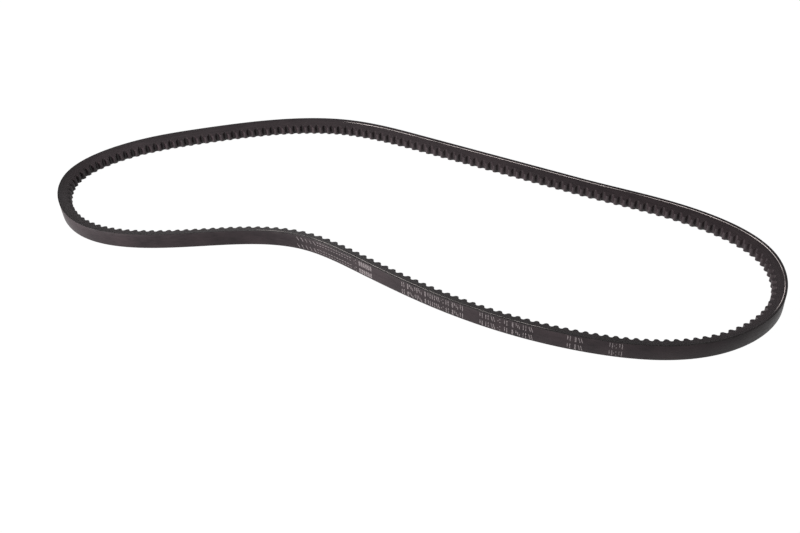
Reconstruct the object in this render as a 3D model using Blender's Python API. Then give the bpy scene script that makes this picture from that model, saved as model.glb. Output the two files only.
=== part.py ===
"""Raw-edge, moulded-cog V belt lying on its side, as one loop of bonded plies.

The belt is 10 mm wide across its back and 980 mm round its back. It lies flat: the loop is in the
XY plane, the back face stands upright and looks out of the loop, and the cogs point into it.

Frame, in metres: +Z up, +X along the loop's long way, origin under the middle of the loop's box,
on the surface that the belt lies on.

Every ply follows one line, the back line, which is the path of the belt's outer face. A place in
the belt is given by three numbers: the run along the back line, the depth below the back face
(towards the inside of the loop) and the height above the surface.
"""

import math

import bmesh
import bpy
import numpy as np

# ---------------------------------------------------------------- driving dimensions, in metres
TOP_WIDTH = 0.0100            # across the back face
OUTSIDE_LENGTH = 0.980        # once round the back face
WEDGE_ANGLE = math.radians(40.0)   # between the two flanks

FABRIC_THICKNESS = 0.0005     # rubberised canvas on the back
OVERCORD_THICKNESS = 0.00035  # cushion rubber between canvas and cord
CORD_DIAMETER = 0.0009        # twisted polyester tension cord
UNDERCORD_THICKNESS = 0.00035 # cushion rubber between cord and base
BASE_THICKNESS = 0.0017       # compression rubber above the gullets
COG_HEIGHT = 0.0022           # gullet floor to cog tip

COG_PITCH = 0.00508           # along the back line; rounded to fit a whole number of cogs
COG_TIP_LENGTH = 0.0015       # flat on each cog, along the back line
GULLET_FLOOR_LENGTH = 0.0014  # flat in each gullet, along the back line
FIRST_COG = 0.40              # first cog's middle, in pitches from the start of the back line

PLY_GAP = 0.0003              # between neighbouring plies, and between turns of the cord
CORD_EDGE_COVER = 0.0001      # rubber between the outermost turn and the flank
CORD_STEP = 0.0082            # between the cord's points, along the back line

# The lay of the loop: points of the back line, in millimetres, clockwise seen from above. The
# first two are the ends of the straight run, and a smooth curve joins the rest. The whole line is
# then scaled to OUTSIDE_LENGTH.
LAY_POINTS_MM = [
    (-10, 69), (90, 55),
    (163, 44), (203, 19), (210, -17), (188, -51), (123, -72),
    (40, -65), (-10, -51), (-46, -43), (-126, -67), (-184, -68),
    (-211, -31), (-192, 8), (-155, 36), (-65, 73),
]
SAMPLES_PER_SPAN = 200

# ---------------------------------------------------------------- depths that follow from these
OVERCORD_TOP = FABRIC_THICKNESS + PLY_GAP
CORD_TOP = OVERCORD_TOP + OVERCORD_THICKNESS + PLY_GAP
CORD_DEPTH = CORD_TOP + CORD_DIAMETER / 2
UNDERCORD_TOP = CORD_TOP + CORD_DIAMETER + PLY_GAP
BASE_TOP = UNDERCORD_TOP + UNDERCORD_THICKNESS + PLY_GAP
GULLET_DEPTH = BASE_TOP + BASE_THICKNESS
BELT_HEIGHT = GULLET_DEPTH + COG_HEIGHT

HALF_WEDGE = WEDGE_ANGLE / 2
MID_HEIGHT = TOP_WIDTH / 2


def half_width(depth):
    """Half of the belt's width at a depth below its back face."""
    return TOP_WIDTH / 2 - depth * math.tan(HALF_WEDGE)


class BackLine:
    """The closed path of the belt's back face, measured by the run along it."""

    def __init__(self, lay_points, length):
        points = np.array(lay_points, dtype=float)
        places, tangents = self._sample(points)
        run = self._run(places)
        places = places * (length / run[-1])
        places -= (places.max(axis=0) + places.min(axis=0)) / 2
        self.length = length
        self.places = places
        self.tangents = tangents
        self.run = self._run(places)

    @staticmethod
    def _run(places):
        steps = np.hypot(*np.diff(places, axis=0).T)
        return np.concatenate([[0.0], np.cumsum(steps)])

    @staticmethod
    def _slopes(knots, spans, end_slope):
        """Slopes of the cubic spline through the knots, with both end slopes given."""
        count = len(knots)
        matrix = np.eye(count)
        right = np.zeros((count, 2))
        right[0] = end_slope
        right[-1] = end_slope
        for i in range(1, count - 1):
            before, after = spans[i - 1], spans[i]
            matrix[i, i - 1:i + 2] = 1 / before, 2 / before + 2 / after, 1 / after
            right[i] = 3 * (knots[i] - knots[i - 1]) / before ** 2
            right[i] += 3 * (knots[i + 1] - knots[i]) / after ** 2
        return np.linalg.solve(matrix, right)

    def _sample(self, points):
        """Places and unit tangents all round: the straight run, then the curve back to its start."""
        straight = points[1] - points[0]
        direction = straight / np.hypot(*straight)
        share = np.arange(SAMPLES_PER_SPAN)[:, None] / SAMPLES_PER_SPAN
        places = [points[0] + straight * share]
        tangents = [np.repeat(direction[None], SAMPLES_PER_SPAN, axis=0)]

        knots = np.vstack([points[1:], points[:1]])
        spans = np.hypot(*np.diff(knots, axis=0).T)
        slopes = self._slopes(knots, spans, direction)
        for i, span in enumerate(spans):
            start, end = knots[i], knots[i + 1]
            out, back = slopes[i] * span, slopes[i + 1] * span
            places.append(
                (2 * share ** 3 - 3 * share ** 2 + 1) * start
                + (share ** 3 - 2 * share ** 2 + share) * out
                + (3 * share ** 2 - 2 * share ** 3) * end
                + (share ** 3 - share ** 2) * back
            )
            slope = (
                6 * (share ** 2 - share) * (start - end)
                + (3 * share ** 2 - 4 * share + 1) * out
                + (3 * share ** 2 - 2 * share) * back
            )
            tangents.append(slope / np.hypot(*slope.T)[:, None])
        places.append(points[:1])
        tangents.append(direction[None])
        return np.vstack(places), np.vstack(tangents)

    def point(self, run, depth, height):
        """A place in the belt, in metres."""
        run = run % self.length
        x, y = (np.interp(run, self.run, column) for column in self.places.T)
        tx, ty = (np.interp(run, self.run, column) for column in self.tangents.T)
        size = math.hypot(tx, ty)
        # The inside of the loop is on the right of the clockwise run.
        return (x + depth * ty / size, y - depth * tx / size, height)


BACK_LINE = BackLine(LAY_POINTS_MM, OUTSIDE_LENGTH)
COG_COUNT = round(OUTSIDE_LENGTH / COG_PITCH)
PITCH = OUTSIDE_LENGTH / COG_COUNT


# ---------------------------------------------------------------- scene, materials, objects
def clear_scene():
    for obj in list(bpy.data.objects):
        bpy.data.objects.remove(obj, do_unlink=True)


def material(name, colour, roughness):
    mat = bpy.data.materials.new(name)
    mat.use_nodes = True
    mat.diffuse_color = (*colour, 1.0)
    shader = mat.node_tree.nodes["Principled BSDF"]
    shader.inputs["Base Color"].default_value = (*colour, 1.0)
    shader.inputs["Roughness"].default_value = roughness
    shader.inputs["Metallic"].default_value = 0.0
    return mat


def add_object(name, data, mat, parent):
    obj = bpy.data.objects.new(name, data)
    data.materials.append(mat)
    bpy.context.scene.collection.objects.link(obj)
    obj.parent = parent
    return obj


# ---------------------------------------------------------------- shapes
def ply_section(bm, run, top_depth, bottom_depth):
    """Four corners of a ply's wedge section at one place along the back line."""
    corners = (
        (top_depth, MID_HEIGHT - half_width(top_depth)),
        (top_depth, MID_HEIGHT + half_width(top_depth)),
        (bottom_depth, MID_HEIGHT + half_width(bottom_depth)),
        (bottom_depth, MID_HEIGHT - half_width(bottom_depth)),
    )
    return [bm.verts.new(BACK_LINE.point(run, depth, height)) for depth, height in corners]


def ply_mesh(name, stations):
    """A closed wedge-shaped ply through stations of (run, top depth, bottom depth)."""
    bm = bmesh.new()
    sections = [ply_section(bm, *station) for station in stations]
    for here, ahead in zip(sections, sections[1:] + sections[:1]):
        for i in range(4):
            j = (i + 1) % 4
            bm.faces.new((here[i], ahead[i], ahead[j], here[j]))
    bmesh.ops.recalc_face_normals(bm, faces=bm.faces)
    mesh = bpy.data.meshes.new(name)
    bm.to_mesh(mesh)
    bm.free()
    return mesh


def plain_stations(top_depth, thickness):
    """One station a cog, for a ply of even thickness."""
    runs = [(i + FIRST_COG) * PITCH for i in range(COG_COUNT)]
    return [(run, top_depth, top_depth + thickness) for run in runs]


def cogged_stations():
    """Four stations a cog: both ends of its tip, and both ends of the gullet floor after it."""
    stations = []
    for i in range(COG_COUNT):
        cog_middle = (i + FIRST_COG) * PITCH
        gullet_middle = cog_middle + PITCH / 2
        for run, depth in (
            (cog_middle - COG_TIP_LENGTH / 2, BELT_HEIGHT),
            (cog_middle + COG_TIP_LENGTH / 2, BELT_HEIGHT),
            (gullet_middle - GULLET_FLOOR_LENGTH / 2, GULLET_DEPTH),
            (gullet_middle + GULLET_FLOOR_LENGTH / 2, GULLET_DEPTH),
        ):
            stations.append((run, BASE_TOP, depth))
    return stations


def cord_curve(name):
    """One cord wound round the loop many times, from the lower flank to the upper one."""
    radius = CORD_DIAMETER / 2
    reach = half_width(CORD_DEPTH) - radius / math.cos(HALF_WEDGE) - CORD_EDGE_COVER
    turns = 2 * reach / (CORD_DIAMETER + PLY_GAP)
    count = round(turns * OUTSIDE_LENGTH / CORD_STEP)

    curve = bpy.data.curves.new(name, "CURVE")
    curve.dimensions = "3D"
    curve.bevel_depth = radius
    curve.bevel_resolution = 1
    curve.use_fill_caps = True
    spline = curve.splines.new("POLY")
    spline.points.add(count)
    for i, point in enumerate(spline.points):
        share = i / count
        run = share * turns * OUTSIDE_LENGTH
        height = MID_HEIGHT + (2 * share - 1) * reach
        point.co = (*BACK_LINE.point(run, CORD_DEPTH, height), 1.0)
    spline.use_smooth = True
    return curve


# ---------------------------------------------------------------- the belt
def build_belt():
    belt = bpy.data.objects.new("v_belt", None)
    bpy.context.scene.collection.objects.link(belt)

    canvas = material("rubberised_canvas", (0.036, 0.034, 0.036), 0.55)
    cushion = material("cushion_rubber", (0.030, 0.029, 0.030), 0.70)
    polyester = material("polyester_cord", (0.300, 0.280, 0.270), 0.80)
    compression = material("fibre_filled_rubber", (0.028, 0.027, 0.028), 0.75)

    add_object("back_fabric", ply_mesh("back_fabric", plain_stations(0.0, FABRIC_THICKNESS)), canvas, belt)
    add_object(
        "overcord_cushion",
        ply_mesh("overcord_cushion", plain_stations(OVERCORD_TOP, OVERCORD_THICKNESS)),
        cushion, belt,
    )
    add_object("tension_cord", cord_curve("tension_cord"), polyester, belt)
    add_object(
        "undercord_cushion",
        ply_mesh("undercord_cushion", plain_stations(UNDERCORD_TOP, UNDERCORD_THICKNESS)),
        cushion, belt,
    )
    add_object("cogged_base", ply_mesh("cogged_base", cogged_stations()), compression, belt)


clear_scene()
build_belt()
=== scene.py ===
import math

import bmesh
import bpy
from mathutils import Matrix, Vector


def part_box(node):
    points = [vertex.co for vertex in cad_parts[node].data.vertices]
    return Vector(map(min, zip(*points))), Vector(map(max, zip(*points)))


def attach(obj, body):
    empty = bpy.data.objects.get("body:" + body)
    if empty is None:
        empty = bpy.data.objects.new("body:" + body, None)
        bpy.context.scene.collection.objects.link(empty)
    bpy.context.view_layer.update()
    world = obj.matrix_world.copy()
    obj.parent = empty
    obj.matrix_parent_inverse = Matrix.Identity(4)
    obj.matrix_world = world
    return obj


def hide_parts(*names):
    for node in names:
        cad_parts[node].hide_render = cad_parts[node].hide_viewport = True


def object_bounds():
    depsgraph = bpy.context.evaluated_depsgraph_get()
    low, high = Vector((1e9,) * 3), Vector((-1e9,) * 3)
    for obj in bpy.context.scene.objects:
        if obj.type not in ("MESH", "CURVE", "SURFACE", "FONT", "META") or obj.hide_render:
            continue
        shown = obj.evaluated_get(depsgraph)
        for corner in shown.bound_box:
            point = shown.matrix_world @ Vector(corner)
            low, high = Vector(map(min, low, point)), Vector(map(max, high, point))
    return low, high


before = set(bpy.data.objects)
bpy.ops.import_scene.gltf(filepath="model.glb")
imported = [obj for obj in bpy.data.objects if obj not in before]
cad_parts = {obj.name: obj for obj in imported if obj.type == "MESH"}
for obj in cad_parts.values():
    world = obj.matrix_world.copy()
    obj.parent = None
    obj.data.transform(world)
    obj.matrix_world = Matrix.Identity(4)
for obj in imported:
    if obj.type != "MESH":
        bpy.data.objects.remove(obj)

cad_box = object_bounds()

# ------------------------------------------------------------------ sizes, in metres
WEDGE_HALF_ANGLE = math.radians(20)   # one flank against the belt's middle plane
COG_TIP_LENGTH = 0.0015               # along the belt, before the tip's corners are rounded
GULLET_FLOOR_LENGTH = 0.0014          # the same for the gullet
COG_TIP_ROUNDING = 0.00068            # how much of each face the rounding takes
GULLET_ROUNDING = 0.00066
COG_ROUNDING_STEPS = 4
CUT_EDGE_ROUNDING = 0.00010           # the canvas edge, which the knife leaves a little soft
EDGE_ROUNDING_STEPS = 2               # on that edge and on the print's strokes
CORD_RADIUS = 0.00045
CORD_SPACING = 0.0014                 # from one turn of the cord to the next, across the belt
CORD_PROUD = 0.00003                  # the cut cord stands this far out of the flank
CORD_SIDES = 15
CORD_END_OUTSIDE = 0.9                # how far outside the flank the cord's middle ends, in radii
WIDEST_CUT_RUN = 0.515                # where the upper flank cuts the cord in half

STROKE_WIDTH = 0.00045                # ink strokes
INK_THICKNESS = 0.00003
INK_SUNK = 0.00003                    # how far a stroke reaches into the canvas under it
STROKE_ROUNDING = 0.35                # of a stroke's corners, as a share of its width
ROW_HEIGHT = 0.0035
ROW_MIDDLES = (0.0024, 0.0075)        # both rows, up from the lower edge of the back

GUIDE_STEP = 0.005                    # between the points of the line that the belt is bent to
GUIDE_RESOLUTION = 16                 # steps between two of those points
SMOOTH_ANGLE = math.radians(35)       # a sharper corner than this stays sharp
TINY = 1e-6                           # two places closer than this are the same
WELD = 20 * TINY                      # corners closer than this are joined
MILLIMETRES = 1000                    # in a metre

FACING = 0.9                          # how nearly a face must look along an axis to be picked
PARALLEL = 0.999                      # how nearly an edge must run along one
FLANK_SLOPE = 0.6                     # faces whose normal rises or falls more were cut by knife


# ------------------------------------------------------------------ what the CAD frame says
back_low, back_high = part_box("back_fabric")
TOP_WIDTH = back_high.z - back_low.z
MID_HEIGHT = (back_high.z + back_low.z) / 2


def half_width(depth):
    return TOP_WIDTH / 2 - depth * math.tan(WEDGE_HALF_ANGLE)


def node_depths(node):
    """The depths under the back face at which a CAD ply has corners, from the wedge's widths."""
    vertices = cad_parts[node].data.vertices
    widths = {round(abs(vertex.co.z - MID_HEIGHT), 5) for vertex in vertices}
    return sorted((TOP_WIDTH / 2 - width) / math.tan(WEDGE_HALF_ANGLE) for width in widths)


_, fabric_bottom = node_depths("back_fabric")
overcord_top, overcord_bottom = node_depths("overcord_cushion")
undercord_top, undercord_bottom = node_depths("undercord_cushion")
_, gullet_depth, cog_depth = node_depths("cogged_base")

# Real plies are bonded, so the CAD's gaps are closed up. The canvas and the overcord cushion meet
# in the middle of their gap. The cord lies against the CAD's overcord cushion, the two cushions
# meet at the cord's middle, the undercord one covers it, and the base takes up the rest.
FABRIC_END = (fabric_bottom + overcord_top) / 2
CORD_DEPTH = overcord_bottom + CORD_RADIUS
BASE_START = CORD_DEPTH + CORD_RADIUS + (undercord_bottom - undercord_top)


def back_line_corners():
    """The upper edge of the CAD's back face, with a corner at each cog's middle except along the
    straight run, from the loop's left end clockwise as seen from above."""
    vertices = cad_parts["back_fabric"].data.vertices
    top = max(vertex.co.z for vertex in vertices)
    loose = {(round(v.co.x, 6), round(v.co.y, 6)) for v in vertices if v.co.z > top - TINY}
    loose = [Vector(place) for place in sorted(loose)]
    line = [loose.pop(0)]
    beside = sorted(loose, key=lambda place: (place - line[0]).length)[:2]
    line.append(max(beside, key=lambda place: place.y))
    loose.remove(line[1])
    while loose:
        line.append(min(loose, key=lambda place: (place - line[-1]).length))
        loose.remove(line[-1])
    return line


def count_cogs():
    """Each cog of the CAD's base has two corners along the upper edge of its tip."""
    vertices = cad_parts["cogged_base"].data.vertices
    tip = MID_HEIGHT + half_width(cog_depth)
    edge = {(round(v.co.x, 6), round(v.co.y, 6)) for v in vertices if abs(v.co.z - tip) < 10 * TINY}
    return len(edge) // 2


corners = back_line_corners()
COG_COUNT = count_cogs()


# ------------------------------------------------------------------ the camera
CAMERA_AZIMUTH = math.radians(23.68)
CAMERA_ELEVATION = math.radians(41.2)
CAMERA_ROLL = math.radians(-3.963)
CAMERA_DISTANCE = 0.5675
CAMERA_AIM = Vector((0.0120, -0.0398, 0))    # on the floor, from the belt's own middle
CAMERA_LENS = 46.44                          # in millimetres, as is the sensor
CAMERA_SENSOR_WIDTH = 36
CAMERA_CLIP_START = 0.01


def add_camera():
    middle = (Vector(cad_box[0]) + Vector(cad_box[1])) / 2
    aim = Vector((middle.x, middle.y, 0)) + CAMERA_AIM
    outward = Vector((
        math.sin(CAMERA_AZIMUTH) * math.cos(CAMERA_ELEVATION),
        -math.cos(CAMERA_AZIMUTH) * math.cos(CAMERA_ELEVATION),
        math.sin(CAMERA_ELEVATION),
    ))
    data = bpy.data.cameras.new("camera")
    data.lens = CAMERA_LENS
    data.sensor_width = CAMERA_SENSOR_WIDTH
    data.clip_start = CAMERA_CLIP_START
    camera = bpy.data.objects.new("camera", data)
    bpy.context.scene.collection.objects.link(camera)
    turn = outward.to_track_quat("Z", "Y").to_matrix().to_4x4()
    camera.matrix_world = (
        Matrix.Translation(aim + outward * CAMERA_DISTANCE)
        @ turn @ Matrix.Rotation(CAMERA_ROLL, 4, "Z")
    )
    bpy.context.scene.camera = camera


add_camera()


# ------------------------------------------------------------------ small tools for modelling
def deselect_all():
    for obj in bpy.context.selected_objects:
        obj.select_set(False)


def pick(obj):
    deselect_all()
    obj.select_set(True)
    bpy.context.view_layer.objects.active = obj


def select_faces(obj, wanted):
    """In edit mode, selects the faces that pass a test and nothing else."""
    bpy.ops.mesh.select_mode(type="FACE")
    bpy.ops.mesh.select_all(action="DESELECT")
    mesh = bmesh.from_edit_mesh(obj.data)
    mesh.normal_update()
    for face in mesh.faces:
        face.select_set(bool(wanted(face)))
    bmesh.update_edit_mesh(obj.data)


def select_edges(obj, wanted):
    """In edit mode, selects the edges that pass a test and nothing else."""
    bpy.ops.mesh.select_mode(type="EDGE")
    bpy.ops.mesh.select_all(action="DESELECT")
    mesh = bmesh.from_edit_mesh(obj.data)
    for edge in mesh.edges:
        edge.select_set(bool(wanted(edge)))
    bmesh.update_edit_mesh(obj.data)


def edge_middle(edge):
    return (edge.verts[0].co + edge.verts[1].co) / 2


def edge_direction(edge):
    return (edge.verts[1].co - edge.verts[0].co).normalized()


def apply_modifiers(obj):
    pick(obj)
    for modifier in list(obj.modifiers):
        bpy.ops.object.modifier_apply(modifier=modifier.name)


def cut_across(obj, places):
    """Cuts a straight segment across at each place along X, so that it bends smoothly."""
    pick(obj)
    bpy.ops.object.mode_set(mode="EDIT")
    for place in places:
        bpy.ops.mesh.select_all(action="SELECT")
        bpy.ops.mesh.bisect(plane_co=(place, 0, 0), plane_no=(1, 0, 0))
    bpy.ops.object.mode_set(mode="OBJECT")


# ------------------------------------------------------------------ the line that the belt is bent to
def add_back_line_guide():
    """A closed smooth curve through the CAD's back line. It is a guide only, and goes at the end."""
    places = []
    for start, end in zip(corners, corners[1:] + corners[:1]):
        # The straight run has no corners of its own in the CAD.
        steps = max(1, round((end - start).length / GUIDE_STEP))
        places += [start.lerp(end, step / steps) for step in range(1, steps + 1)]
    # Blender measures a closed curve from its last point, which is then the first corner.
    curve = bpy.data.curves.new("back_line_guide", "CURVE")
    curve.dimensions = "2D"
    curve.fill_mode = "NONE"
    curve.resolution_u = GUIDE_RESOLUTION
    spline = curve.splines.new("BEZIER")
    spline.bezier_points.add(len(places) - 1)
    for point, place in zip(spline.bezier_points, places):
        point.co = (place.x, place.y, 0)
        point.handle_left_type = "AUTO"
        point.handle_right_type = "AUTO"
    spline.use_cyclic_u = True
    line = bpy.data.objects.new("back_line_guide", curve)
    bpy.context.scene.collection.objects.link(line)
    bpy.context.view_layer.update()
    return line


guide = add_back_line_guide()
BELT_LENGTH = guide.data.splines[0].calc_length()
PITCH = BELT_LENGTH / COG_COUNT


def repeat(obj, count, offset):
    array = obj.modifiers.new("repeat", "ARRAY")
    array.count = count
    array.use_relative_offset = False
    array.use_constant_offset = True
    array.constant_offset_displace = offset
    array.use_merge_vertices = True
    array.merge_threshold = WELD
    apply_modifiers(obj)


def note_flat_places(obj):
    """Keeps each corner's place in the straight belt, in millimetres, for the materials:
    run along the belt, depth under the back, height."""
    mesh = obj.data
    while mesh.uv_layers:
        mesh.uv_layers.remove(mesh.uv_layers[0])
    flat = mesh.attributes.new("flat_place", "FLOAT_VECTOR", "CORNER")
    for loop, place in zip(mesh.loops, flat.data):
        place.vector = mesh.vertices[loop.vertex_index].co * MILLIMETRES


def bend_along_guide(obj):
    """Bends a straight piece to the back line, with its depth inwards, and closes it."""
    for vertex in obj.data.vertices:
        vertex.co.x %= BELT_LENGTH
        vertex.co.y *= -1
    bend = obj.modifiers.new("bend", "CURVE")
    bend.object = guide
    bend.deform_axis = "POS_X"
    apply_modifiers(obj)
    bpy.ops.object.mode_set(mode="EDIT")
    bpy.ops.mesh.select_mode(type="VERT")
    bpy.ops.mesh.select_all(action="SELECT")
    bpy.ops.mesh.remove_doubles(threshold=WELD)
    bpy.ops.mesh.normals_make_consistent(inside=False)
    bpy.ops.object.mode_set(mode="OBJECT")
    bpy.ops.object.shade_smooth_by_angle(angle=SMOOTH_ANGLE)


# ------------------------------------------------------------------ plies
def add_wedge_segment(name, start_depth, end_depth):
    """One pitch of a ply, straight along X with depth along Y, open at both ends."""
    deselect_all()
    bpy.ops.mesh.primitive_cube_add(
        size=1,
        location=(0, (start_depth + end_depth) / 2, MID_HEIGHT),
        scale=(PITCH, end_depth - start_depth, 2 * half_width(start_depth)),
    )
    obj = bpy.context.object
    obj.name = name
    obj.data.name = name
    bpy.ops.object.transform_apply(location=True, rotation=True, scale=True)
    bpy.ops.object.mode_set(mode="EDIT")
    select_faces(obj, lambda face: face.normal.y > FACING)
    taper = half_width(end_depth) / half_width(start_depth)
    bpy.ops.transform.resize(
        value=(1, 1, taper), center_override=(0, end_depth, MID_HEIGHT),
    )
    select_faces(obj, lambda face: abs(face.normal.x) > FACING)
    bpy.ops.mesh.delete(type="ONLY_FACE")
    bpy.ops.object.mode_set(mode="OBJECT")
    return obj


def make_plain_ply(name, start_depth, end_depth, rounded_depth=None):
    """A ply of constant section. Its two long edges at rounded_depth lose their sharp corner."""
    obj = add_wedge_segment(name, start_depth, end_depth)
    if rounded_depth is not None:
        bpy.ops.object.mode_set(mode="EDIT")
        select_edges(obj, lambda edge: abs(edge_direction(edge).x) > PARALLEL
                     and abs(edge_middle(edge).y - rounded_depth) < TINY)
        bpy.ops.mesh.bevel(offset=CUT_EDGE_ROUNDING, segments=EDGE_ROUNDING_STEPS, affect="EDGES")
        bpy.ops.object.mode_set(mode="OBJECT")
    cut_across(obj, [-PITCH / 4, 0, PITCH / 4])
    repeat(obj, COG_COUNT, (PITCH, 0, 0))
    note_flat_places(obj)
    bend_along_guide(obj)
    return obj


def make_cogged_base(name):
    """The base rubber, with one cog pulled out of the slab for each pitch."""
    obj = add_wedge_segment(name, BASE_START, gullet_depth)
    root_length = PITCH - GULLET_FLOOR_LENGTH
    cut_across(obj, [-root_length / 2, root_length / 2])
    bpy.ops.object.mode_set(mode="EDIT")
    select_faces(obj, lambda face: face.normal.y > FACING
                 and abs(face.calc_center_median().x) < root_length / 4)
    bpy.ops.mesh.extrude_region_move(
        TRANSFORM_OT_translate={"value": (0, cog_depth - gullet_depth, 0)},
    )
    narrowing = half_width(cog_depth) / half_width(gullet_depth)
    bpy.ops.transform.resize(
        value=(COG_TIP_LENGTH / root_length, 1, narrowing),
        center_override=(0, cog_depth, MID_HEIGHT),
    )
    select_edges(obj, lambda edge: abs(edge_direction(edge).z) > PARALLEL
                 and edge_middle(edge).y > cog_depth - TINY)
    bpy.ops.mesh.bevel(offset=COG_TIP_ROUNDING, segments=COG_ROUNDING_STEPS, affect="EDGES")
    select_edges(obj, lambda edge: abs(edge_direction(edge).z) > PARALLEL
                 and abs(edge_middle(edge).y - gullet_depth) < TINY
                 and abs(abs(edge_middle(edge).x) - root_length / 2) < TINY)
    bpy.ops.mesh.bevel(offset=GULLET_ROUNDING, segments=COG_ROUNDING_STEPS, affect="EDGES")
    bpy.ops.object.mode_set(mode="OBJECT")
    repeat(obj, COG_COUNT, (PITCH, 0, 0))
    note_flat_places(obj)
    bend_along_guide(obj)
    return obj


# ------------------------------------------------------------------ tension cord
def make_tension_cord(name):
    """One cord wound round the belt from the lower flank to the upper one, cut flat where it
    comes out through each flank."""
    slant = math.cos(WEDGE_HALF_ANGLE)
    flank = half_width(CORD_DEPTH)
    reach = flank + CORD_END_OUTSIDE * CORD_RADIUS / slant
    drift = CORD_SPACING / COG_COUNT
    segments = math.floor(2 * reach / drift)
    widest_segment = round((flank + reach) / drift)
    first_run = WIDEST_CUT_RUN - widest_segment * PITCH
    deselect_all()
    bpy.ops.mesh.primitive_cylinder_add(
        vertices=CORD_SIDES, radius=CORD_RADIUS, depth=PITCH, end_fill_type="NOTHING",
        location=(first_run, CORD_DEPTH, MID_HEIGHT - reach), rotation=(0, math.pi / 2, 0),
    )
    obj = bpy.context.object
    obj.name = name
    obj.data.name = name
    bpy.ops.object.transform_apply(location=True, rotation=True, scale=True)
    cut_across(obj, [first_run])
    repeat(obj, segments, (PITCH, 0, drift))
    # Each ring of the tube is closed up onto the part of its circle inside the flank. The face
    # across the two ends of that arc is the cut.
    for vertex in obj.data.vertices:
        rings = round(2 * (vertex.co.x - first_run) / PITCH)
        middle = drift * rings / 2 - reach
        side = math.copysign(1, middle)
        inside = (flank - abs(middle)) * slant + CORD_PROUD
        across, down = (vertex.co.z - MID_HEIGHT - middle) * side, vertex.co.y - CORD_DEPTH
        angle = (math.atan2(down, across) - WEDGE_HALF_ANGLE) % (2 * math.pi)
        start = math.acos(max(-1, min(1, inside / CORD_RADIUS)))
        angle = start + angle * (1 - start / math.pi) + WEDGE_HALF_ANGLE
        vertex.co.z = MID_HEIGHT + middle + side * CORD_RADIUS * math.cos(angle)
        vertex.co.y = CORD_DEPTH + CORD_RADIUS * math.sin(angle)
    bpy.ops.object.mode_set(mode="EDIT")
    bpy.ops.mesh.select_all(action="SELECT")
    bpy.ops.mesh.region_to_loop()
    bpy.ops.mesh.edge_face_add()
    bpy.ops.object.mode_set(mode="OBJECT")
    note_flat_places(obj)
    bend_along_guide(obj)
    return obj


# ------------------------------------------------------------------ printing
# The print on the back is two equal rows of tally strokes and dots that spell nothing. A sign
# is a few strokes side by side, each (place along the sign, place up the row, length, lean from
# upright in degrees), with the first three as shares of the row's height.
SIGNS = {
    "pair": ((0.08, 0.0, 1.0, 0), (0.44, 0.12, 0.76, 0)),
    "stairs": ((0.08, -0.24, 0.52, 0), (0.34, 0.0, 0.56, 0), (0.60, 0.24, 0.52, 0)),
    "leaning": ((0.16, 0.0, 0.95, 16), (0.50, 0.0, 0.95, 16)),
    "dots": ((0.20, 0.32, 0.2, 0), (0.20, -0.32, 0.2, 0), (0.50, 0.0, 0.2, 0)),
    "thick": ((0.12, 0.0, 1.0, 0), (0.22, 0.0, 1.0, 0)),
    "split": ((0.10, 0.28, 0.44, 0), (0.10, -0.28, 0.44, 0), (0.48, 0.0, 0.9, 0)),
    "solid": ((0.05, 0.0, 0.9, 0), (0.16, 0.0, 1.0, 0), (0.27, 0.0, 0.8, 0)),
    "dashes": ((0.25, 0.30, 0.38, 90), (0.25, -0.22, 0.30, 90)),
    "hatch": ((0.18, 0.0, 0.8, 28),),
}
# Where each group starts and ends along the belt, from its left end, and the signs it repeats.
PRINT_GROUPS = (
    (0.5954, 0.6025, ("pair", "dots")),
    (0.6148, 0.6238, ("leaning", "thick", "pair")),
    (0.6400, 0.6704, ("leaning", "split", "stairs", "thick", "pair", "dots", "leaning",
                      "split", "pair")),
    (0.6783, 0.7171, ("pair", "stairs", "thick", "split", "dots", "leaning", "split", "pair",
                      "thick", "stairs")),
    (0.7367, 0.7460, ("solid", "solid")),
    (0.7470, 0.7495, ("dots",)),
    (0.7508, 0.7758, ("dashes",)),
    (0.7763, 0.7896, ("hatch",)),
)
SIGN_SPACING = {"solid": 0.0016, "dashes": 0.0019, "hatch": 0.0026, "leaning": 0.0033}
PLAIN_SIGN_SPACING = 0.0028


def make_master_stroke():
    """One upright stroke as long as the row is high, a thin film with rounded ends."""
    deselect_all()
    bpy.ops.mesh.primitive_cube_add(
        size=1,
        location=(0, (INK_SUNK - INK_THICKNESS) / 2, 0),
        scale=(STROKE_WIDTH, INK_THICKNESS + INK_SUNK, ROW_HEIGHT),
    )
    stroke = bpy.context.object
    bpy.ops.object.transform_apply(location=True, rotation=True, scale=True)
    bpy.ops.object.mode_set(mode="EDIT")
    select_edges(stroke, lambda edge: abs(edge_direction(edge).y) > PARALLEL)
    bpy.ops.mesh.bevel(offset=STROKE_ROUNDING * STROKE_WIDTH, segments=EDGE_ROUNDING_STEPS, affect="EDGES")
    bpy.ops.object.mode_set(mode="OBJECT")
    return stroke


def print_strokes():
    """(run, height, length as a share of the row, lean) of every stroke in one row."""
    for start, end, signs in PRINT_GROUPS:
        spacing = SIGN_SPACING.get(signs[0], PLAIN_SIGN_SPACING)
        count = max(1, round((end - start) / spacing))
        for cell in range(count):
            left = start + cell * (end - start) / count
            for along, up, length, lean in SIGNS[signs[cell % len(signs)]]:
                yield left + along * ROW_HEIGHT, up * ROW_HEIGHT, length, math.radians(lean)


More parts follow.
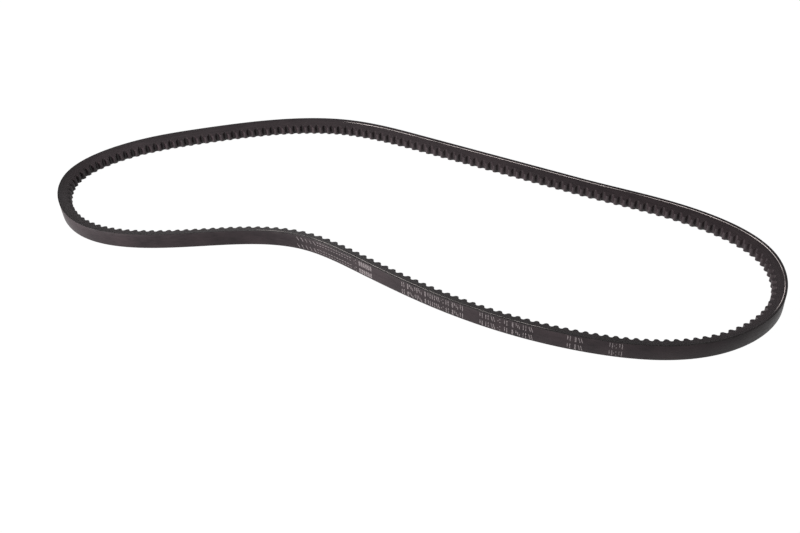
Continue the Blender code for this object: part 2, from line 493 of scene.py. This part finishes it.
def make_print_row(name, row_middle):
    """Copies of the one stroke, each with its own mesh, joined and bent with the belt."""
    master = make_master_stroke()
    strokes = []
    for run, height, length, lean in print_strokes():
        stroke = master.copy()
        stroke.data = master.data.copy()
        bpy.context.scene.collection.objects.link(stroke)
        stroke.location = (run, 0, MID_HEIGHT - TOP_WIDTH / 2 + row_middle + height)
        stroke.rotation_euler = (0, lean, 0)
        stroke.scale = (1, 1, length)
        strokes.append(stroke)
    bpy.data.objects.remove(master)
    pick(strokes[0])
    for stroke in strokes:
        stroke.select_set(True)
    bpy.ops.object.join()
    bpy.ops.object.transform_apply(location=True, rotation=True, scale=True)
    row = bpy.context.object
    row.name = name
    row.data.name = name
    note_flat_places(row)
    bend_along_guide(row)
    return row


back_canvas = make_plain_ply("back_canvas", 0, FABRIC_END, rounded_depth=0)
overcord_rubber = make_plain_ply("overcord_rubber", FABRIC_END, CORD_DEPTH)
tension_cord = make_tension_cord("wound_tension_cord")
undercord_rubber = make_plain_ply("undercord_rubber", CORD_DEPTH, BASE_START)
cogged_base = make_cogged_base("cogged_rubber_base")
print_lower_row = make_print_row("print_lower_row", ROW_MIDDLES[0])
print_upper_row = make_print_row("print_upper_row", ROW_MIDDLES[1])
bpy.data.objects.remove(guide)


# ------------------------------------------------------------------ materials
CANVAS_DARK, CANVAS_LIGHT = "#130e10", "#211a1c"
CUT_CANVAS_DARK, CUT_CANVAS_LIGHT = "#0b090a", "#151112"
CUT_CUSHION_DARK, CUT_CUSHION_LIGHT = "#110c0e", "#1f191b"
CUT_BASE_DARK, CUT_BASE_LIGHT = "#130e10", "#221b1d"
MOULDED_DARK, MOULDED_LIGHT = "#1a1416", "#282022"
CORD_DARK, CORD_LIGHT = "#837a79", "#bcb3b0"
INK_WORN, INK_FULL = "#1f1b1c", "#5c5556"
# The smears' colour, also used for the painted shade over one long stretch of the cord.
SMEAR_AND_SHADE = "#181415"
FIBRE_END = "#4a4644"
TABLE_BASE = "#0c0c0c"

FEW_FIBRES = 0.15                      # how strongly the cut fibre ends show
MANY_FIBRES = 0.25
# The cord is painted dark over this stretch: painted shade where its cut fibres catch little light.
SHADED_CORD_RUN = (513, 628)               # in millimetres along the belt
SHADED_CORD_FADE = 12                        # in millimetres, at each end of that run


def srgb(code):
    """A hex sRGB colour as the linear RGBA that Blender's sockets hold."""
    channels = [int(code[i:i + 2], 16) / 255 for i in (1, 3, 5)]
    return [c / 12.92 if c <= 0.04045 else ((c + 0.055) / 1.055) ** 2.4 for c in channels] + [1]


def add_node(tree, kind, values=None, links=None, **settings):
    """One node with its settings, its sockets' own values, and the outputs that feed it."""
    node = tree.nodes.new(kind)
    for name, value in settings.items():
        setattr(node, name, value)
    for socket, value in (values or {}).items():
        node.inputs[socket].default_value = value
    for socket, output in (links or {}).items():
        tree.links.new(output, node.inputs[socket])
    return node


def start_material(name, **values):
    """A material with one Principled shader, given its plain values by socket name."""
    material = bpy.data.materials.new(name)
    material.use_nodes = True
    tree = material.node_tree
    shader = tree.nodes["Principled BSDF"]
    for socket, value in values.items():
        shader.inputs[socket.replace("_", " ")].default_value = value
    return material, tree, shader


def make_rubberised_canvas():
    """Cotton-polyester canvas cut on the bias and filled with chloroprene. The eye gets a satin
    near-black skin through which the weave only just shows."""
    material, tree, shader = start_material(
        "rubberised_bias_canvas", IOR=1.52, Specular_IOR_Level=0.15)
    flat = add_node(tree, "ShaderNodeAttribute", attribute_name="flat_place").outputs["Vector"]
    place = add_node(tree, "ShaderNodeTexCoord").outputs["Object"]
    # Threads are 0.45 mm apart in the cloth, drawn at 0.7 mm so that they can be seen.
    threads = []
    for turn in (45, -45):
        turned = add_node(tree, "ShaderNodeMapping", {"Rotation": (0, math.radians(turn), 0)},
                          {"Vector": flat})
        threads.append(add_node(
            tree, "ShaderNodeTexWave",
            {"Scale": math.pi / 10 / 0.7, "Distortion": 0.4, "Detail": 1.0, "Detail Scale": 0.6},
            {"Vector": turned.outputs["Vector"]}, bands_direction="X").outputs["Fac"])
    weave = add_node(tree, "ShaderNodeMath", links={0: threads[0], 1: threads[1]},
                     operation="MULTIPLY")
    # Cloudy patches are 14 mm across; the rub marks of the wrapping cloth are 6 by 1.2 mm.
    cloudy = add_node(tree, "ShaderNodeTexNoise", {"Scale": 1 / 0.014, "Detail": 4.0},
                      {"Vector": place})
    stretched = add_node(tree, "ShaderNodeMapping", {"Scale": (1 / 6, 1 / 6, 1 / 1.2)},
                         {"Vector": flat})
    rubbed = add_node(tree, "ShaderNodeTexNoise", {"Scale": 1, "Detail": 5.0, "Roughness": 0.65},
                      {"Vector": stretched.outputs["Vector"]})
    tone = add_node(tree, "ShaderNodeMix", {0: 0.4},
                    {2: cloudy.outputs["Fac"], 3: rubbed.outputs["Fac"]})
    share = add_node(tree, "ShaderNodeMapRange", {"From Min": 0.36, "From Max": 0.66},
                     {"Value": tone.outputs[0]})
    colour = add_node(tree, "ShaderNodeMix", {6: srgb(CANVAS_DARK), 7: srgb(CANVAS_LIGHT)},
                      {0: share.outputs["Result"]}, data_type="RGBA")
    tree.links.new(colour.outputs[2], shader.inputs["Base Color"])
    gloss = add_node(tree, "ShaderNodeMapRange",
                     {"From Min": 0.3, "From Max": 0.7, "To Min": 0.40, "To Max": 0.56},
                     {"Value": rubbed.outputs["Fac"]})
    tree.links.new(gloss.outputs["Result"], shader.inputs["Roughness"])
    relief = add_node(tree, "ShaderNodeBump", {"Strength": 0.35, "Distance": 0.00005},
                      {"Height": weave.outputs["Value"]})
    coarse = add_node(tree, "ShaderNodeBump", {"Strength": 0.25, "Distance": 0.0002},
                      {"Height": rubbed.outputs["Fac"], "Normal": relief.outputs["Normal"]})
    tree.links.new(coarse.outputs["Normal"], shader.inputs["Normal"])
    return material


def make_cut_rubber(name, dark, light, fibre_share):
    """Chloroprene with chopped fibre, cut by knife and then ground. Grinding leaves it matt, with
    faint lines along the belt, and the cut fibre ends show as paler specks."""
    material, tree, shader = start_material(name, IOR=1.52, Specular_IOR_Level=0.18)
    flat = add_node(tree, "ShaderNodeAttribute", attribute_name="flat_place").outputs["Vector"]
    place = add_node(tree, "ShaderNodeTexCoord").outputs["Object"]
    # Grit lines are about 0.1 mm apart, drawn at 0.3 mm.
    along = add_node(tree, "ShaderNodeMapping", {"Scale": (1 / 9, 1 / 0.3, 1 / 0.8)},
                     {"Vector": flat})
    lines = add_node(tree, "ShaderNodeTexNoise", {"Scale": 1, "Detail": 3.0, "Roughness": 0.6},
                     {"Vector": along.outputs["Vector"]})
    cloudy = add_node(tree, "ShaderNodeTexNoise", {"Scale": 1 / 0.02, "Detail": 3.0},
                      {"Vector": place})
    tone = add_node(tree, "ShaderNodeMix", {0: 0.35},
                    {2: lines.outputs["Fac"], 3: cloudy.outputs["Fac"]})
    share = add_node(tree, "ShaderNodeMapRange", {"From Min": 0.34, "From Max": 0.66},
                     {"Value": tone.outputs[0]})
    colour = add_node(tree, "ShaderNodeMix", {6: srgb(dark), 7: srgb(light)},
                      {0: share.outputs["Result"]}, data_type="RGBA")
    # Fibre ends are 0.1 mm across, drawn at 0.25 mm.
    speck_size = add_node(tree, "ShaderNodeMapping", {"Scale": (1 / 0.35, 1 / 0.25, 1 / 0.25)},
                          {"Vector": flat})
    specks = add_node(tree, "ShaderNodeTexNoise", {"Scale": 1, "Detail": 1.0},
                      {"Vector": speck_size.outputs["Vector"]})
    speck_mask = add_node(tree, "ShaderNodeMapRange",
                          {"From Min": 0.64, "From Max": 0.74, "To Max": fibre_share},
                          {"Value": specks.outputs["Fac"]})
    specked = add_node(tree, "ShaderNodeMix", {7: srgb(FIBRE_END)},
                       {0: speck_mask.outputs["Result"], 6: colour.outputs[2]},
                       data_type="RGBA")
    tree.links.new(specked.outputs[2], shader.inputs["Base Color"])
    gloss = add_node(tree, "ShaderNodeMapRange",
                     {"From Min": 0.3, "From Max": 0.7, "To Min": 0.50, "To Max": 0.68},
                     {"Value": lines.outputs["Fac"]})
    tree.links.new(gloss.outputs["Result"], shader.inputs["Roughness"])
    relief = add_node(tree, "ShaderNodeBump", {"Strength": 0.2, "Distance": 0.00006},
                      {"Height": lines.outputs["Fac"]})
    tree.links.new(relief.outputs["Normal"], shader.inputs["Normal"])
    return material


def make_moulded_rubber():
    """Fibre-filled chloroprene straight from a machined mould: smoother than the cut flanks, with
    a soft sheen and faint streaks across the belt, the way that the fibre lies."""
    material, tree, shader = start_material(
        "moulded_fibre_rubber", IOR=1.52, Specular_IOR_Level=0.25)
    flat = add_node(tree, "ShaderNodeAttribute", attribute_name="flat_place").outputs["Vector"]
    place = add_node(tree, "ShaderNodeTexCoord").outputs["Object"]
    # Fibres are hair-thin, drawn 0.35 mm wide.
    across = add_node(tree, "ShaderNodeMapping", {"Scale": (1 / 0.35, 1 / 0.35, 1 / 7)},
                      {"Vector": flat})
    streaks = add_node(tree, "ShaderNodeTexNoise", {"Scale": 1, "Detail": 3.0, "Roughness": 0.6},
                       {"Vector": across.outputs["Vector"]})
    cloudy = add_node(tree, "ShaderNodeTexNoise", {"Scale": 1 / 0.01, "Detail": 3.0},
                      {"Vector": place})
    tone = add_node(tree, "ShaderNodeMix", {0: 0.4},
                    {2: streaks.outputs["Fac"], 3: cloudy.outputs["Fac"]})
    share = add_node(tree, "ShaderNodeMapRange", {"From Min": 0.36, "From Max": 0.68},
                     {"Value": tone.outputs[0]})
    colour = add_node(tree, "ShaderNodeMix", {6: srgb(MOULDED_DARK), 7: srgb(MOULDED_LIGHT)},
                      {0: share.outputs["Result"]}, data_type="RGBA")
    tree.links.new(colour.outputs[2], shader.inputs["Base Color"])
    gloss = add_node(tree, "ShaderNodeMapRange",
                     {"From Min": 0.3, "From Max": 0.7, "To Min": 0.32, "To Max": 0.46},
                     {"Value": streaks.outputs["Fac"]})
    tree.links.new(gloss.outputs["Result"], shader.inputs["Roughness"])
    relief = add_node(tree, "ShaderNodeBump", {"Strength": 0.3, "Distance": 0.00006},
                      {"Height": streaks.outputs["Fac"]})
    tree.links.new(relief.outputs["Normal"], shader.inputs["Normal"])
    return material


def make_cut_cord():
    """Twisted polyester cord, dipped and then sliced lengthwise by the knife: pale, dull filaments
    drawn out along it, with rubber smeared over some stretches by the grinding, and painted
    shade over one long stretch."""
    material, tree, shader = start_material("cut_polyester_cord", IOR=1.57, Roughness=0.72,
                                            Specular_IOR_Level=0.3)
    flat = add_node(tree, "ShaderNodeAttribute", attribute_name="flat_place").outputs["Vector"]
    # Filaments are finer than a hair, drawn 0.22 mm apart and 12 mm long. The node scales before
    # it turns, so the turn gives them no slant: it only picks another part of the noise.
    drawn_out = add_node(tree, "ShaderNodeMapping",
                         {"Rotation": (0, 0, math.radians(16)),
                          "Scale": (1 / 12, 1 / 0.22, 1 / 0.22)}, {"Vector": flat})
    filaments = add_node(tree, "ShaderNodeTexNoise",
                         {"Scale": 1, "Detail": 3.0, "Roughness": 0.6},
                         {"Vector": drawn_out.outputs["Vector"]})
    share = add_node(tree, "ShaderNodeMapRange", {"From Min": 0.34, "From Max": 0.60},
                     {"Value": filaments.outputs["Fac"]})
    colour = add_node(tree, "ShaderNodeMix", {6: srgb(CORD_DARK), 7: srgb(CORD_LIGHT)},
                      {0: share.outputs["Result"]}, data_type="RGBA")
    # Smears are a few centimetres long.
    long_patches = add_node(tree, "ShaderNodeMapping", {"Scale": (1 / 34, 1 / 4, 1 / 4)},
                            {"Vector": flat})
    smears = add_node(tree, "ShaderNodeTexNoise", {"Scale": 1, "Detail": 4.0},
                      {"Vector": long_patches.outputs["Vector"]})
    smear_mask = add_node(tree, "ShaderNodeMapRange",
                          {"From Min": 0.50, "From Max": 0.62, "To Max": 0.75},
                          {"Value": smears.outputs["Fac"]})
    smeared = add_node(tree, "ShaderNodeMix", {7: srgb(SMEAR_AND_SHADE)},
                       {0: smear_mask.outputs["Result"], 6: colour.outputs[2]},
                       data_type="RGBA")
    # Painted shade: over one long stretch the cord is painted the dark of the smears right across, where
    # its cut fibres catch little light.
    run = add_node(tree, "ShaderNodeSeparateXYZ", links={"Vector": flat})
    into = add_node(tree, "ShaderNodeMapRange",
                    {"From Min": SHADED_CORD_RUN[0] - SHADED_CORD_FADE, "From Max": SHADED_CORD_RUN[0]},
                    {"Value": run.outputs["X"]}, interpolation_type="SMOOTHSTEP")
    out_of = add_node(tree, "ShaderNodeMapRange",
                      {"From Min": SHADED_CORD_RUN[1], "From Max": SHADED_CORD_RUN[1] + SHADED_CORD_FADE,
                       "To Min": 1.0, "To Max": 0.0},
                      {"Value": run.outputs["X"]}, interpolation_type="SMOOTHSTEP")
    painted_cord_shade = add_node(tree, "ShaderNodeMath",
                       links={0: into.outputs["Result"], 1: out_of.outputs["Result"]},
                       operation="MULTIPLY")
    shown = add_node(tree, "ShaderNodeMix", {7: srgb(SMEAR_AND_SHADE)},
                     {0: painted_cord_shade.outputs["Value"], 6: smeared.outputs[2]}, data_type="RGBA")
    tree.links.new(shown.outputs[2], shader.inputs["Base Color"])
    relief = add_node(tree, "ShaderNodeBump", {"Strength": 0.4, "Distance": 0.00005},
                      {"Height": filaments.outputs["Fac"]})
    tree.links.new(relief.outputs["Normal"], shader.inputs["Normal"])
    return material


def make_printing_ink():
    """Grey heat-set stamping ink, thin and worn, so that the dark canvas shows through in places."""
    material, tree, shader = start_material("worn_grey_printing_ink", IOR=1.5,
                                            Specular_IOR_Level=0.3, Roughness=0.6)
    flat = add_node(tree, "ShaderNodeAttribute", attribute_name="flat_place").outputs["Vector"]
    grain = add_node(tree, "ShaderNodeMapping", {"Scale": (1 / 0.9, 1 / 0.9, 1 / 0.6)},
                     {"Vector": flat})
    worn = add_node(tree, "ShaderNodeTexNoise", {"Scale": 1, "Detail": 5.0, "Roughness": 0.7},
                    {"Vector": grain.outputs["Vector"]})
    share = add_node(tree, "ShaderNodeMapRange", {"From Min": 0.36, "From Max": 0.60},
                     {"Value": worn.outputs["Fac"]})
    colour = add_node(tree, "ShaderNodeMix", {6: srgb(INK_WORN), 7: srgb(INK_FULL)},
                      {0: share.outputs["Result"]}, data_type="RGBA")
    tree.links.new(colour.outputs[2], shader.inputs["Base Color"])
    return material


canvas = make_rubberised_canvas()
cut_canvas = make_cut_rubber("cut_canvas_edge", CUT_CANVAS_DARK, CUT_CANVAS_LIGHT, FEW_FIBRES)
cut_cushion = make_cut_rubber(
    "ground_cushion_rubber", CUT_CUSHION_DARK, CUT_CUSHION_LIGHT, FEW_FIBRES)
cut_base = make_cut_rubber("ground_fibre_rubber", CUT_BASE_DARK, CUT_BASE_LIGHT, MANY_FIBRES)
moulded = make_moulded_rubber()
cord_finish = make_cut_cord()
ink = make_printing_ink()


def finish_piece(obj, main, flank=None, nodes=()):
    """Materials, the CAD nodes it stands for, and the body it rides on."""
    obj.data.materials.clear()
    obj.data.materials.append(main)
    if flank is not None:
        obj.data.materials.append(flank)
        for face in obj.data.polygons:
            face.material_index = 1 if abs(face.normal.z) > FLANK_SLOPE else 0
    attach(obj, "root")
    if nodes:
        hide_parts(*nodes)


finish_piece(back_canvas, canvas, cut_canvas, ["back_fabric"])
finish_piece(overcord_rubber, cut_cushion, nodes=["overcord_cushion"])
finish_piece(tension_cord, cord_finish, nodes=["tension_cord"])
finish_piece(undercord_rubber, cut_cushion, nodes=["undercord_cushion"])
finish_piece(cogged_base, moulded, cut_base, ["cogged_base"])
finish_piece(print_lower_row, ink)
finish_piece(print_upper_row, ink)


# ------------------------------------------------------------------ floor and light
FLOOR_SIZE = 40.0
FLOOR_DROP = 0.0002                   # under the belt, so that the two never share a plane
FLOOR_GLOW = 1.0                      # a lit table: its own light hides the belt's shadow
BACKDROP_GLOW = 1.0
SOFTBOX_DISTANCE = 0.8                # from the middle of the frame
SOFTBOX_SIZE = 0.5


def make_floor():
    deselect_all()
    bpy.ops.mesh.primitive_plane_add(size=FLOOR_SIZE, location=(0, 0, -FLOOR_DROP))
    floor = bpy.context.object
    floor.name = "floor"
    bpy.ops.object.transform_apply(location=True, rotation=True, scale=True)
    material, _, shader = start_material("white_light_table", Roughness=0.9,
                                         Specular_IOR_Level=0.1)
    # A dark base: the white is the table's own light, and the softboxes add next to nothing.
    shader.inputs["Base Color"].default_value = srgb(TABLE_BASE)
    shader.inputs["Emission Color"].default_value = (1, 1, 1, 1)
    shader.inputs["Emission Strength"].default_value = FLOOR_GLOW
    floor.data.materials.append(material)


def add_softbox(name, azimuth, elevation, power):
    """A square soft light that faces the belt. Azimuth 0 is on the camera's side, and more than
    that is further to the right."""
    turn = CAMERA_AZIMUTH + math.radians(azimuth)
    rise = math.radians(elevation)
    outward = Vector((math.sin(turn) * math.cos(rise), -math.cos(turn) * math.cos(rise),
                      math.sin(rise)))
    data = bpy.data.lights.new(name, "AREA")
    data.shape = "SQUARE"
    data.size = SOFTBOX_SIZE
    data.energy = power
    light = bpy.data.objects.new(name, data)
    bpy.context.scene.collection.objects.link(light)
    light.location = outward * SOFTBOX_DISTANCE
    light.rotation_mode = "QUATERNION"
    light.rotation_quaternion = outward.to_track_quat("Z", "Y")


def make_world():
    """A white backdrop all round. The belt is lit by the softboxes and the table only."""
    world = bpy.data.worlds.new("studio")
    world.use_nodes = True
    background = world.node_tree.nodes["Background"]
    background.inputs["Color"].default_value = (1, 1, 1, 1)
    background.inputs["Strength"].default_value = BACKDROP_GLOW
    world.cycles_visibility.diffuse = False
    world.cycles_visibility.glossy = False
    bpy.context.scene.world = world


make_floor()
make_world()
add_softbox("front_fill_softbox", -30, 15, 3.0)
add_softbox("left_softbox", -68, 20, 24.0)
add_softbox("right_softbox", 80, 20, 2.2)
add_softbox("high_back_softbox", -120, 50, 1.8)
add_softbox("low_back_softbox", 180, 20, 2.0)
bpy.context.scene.view_settings.view_transform = "Standard"
bpy.context.scene.view_settings.look = "None"
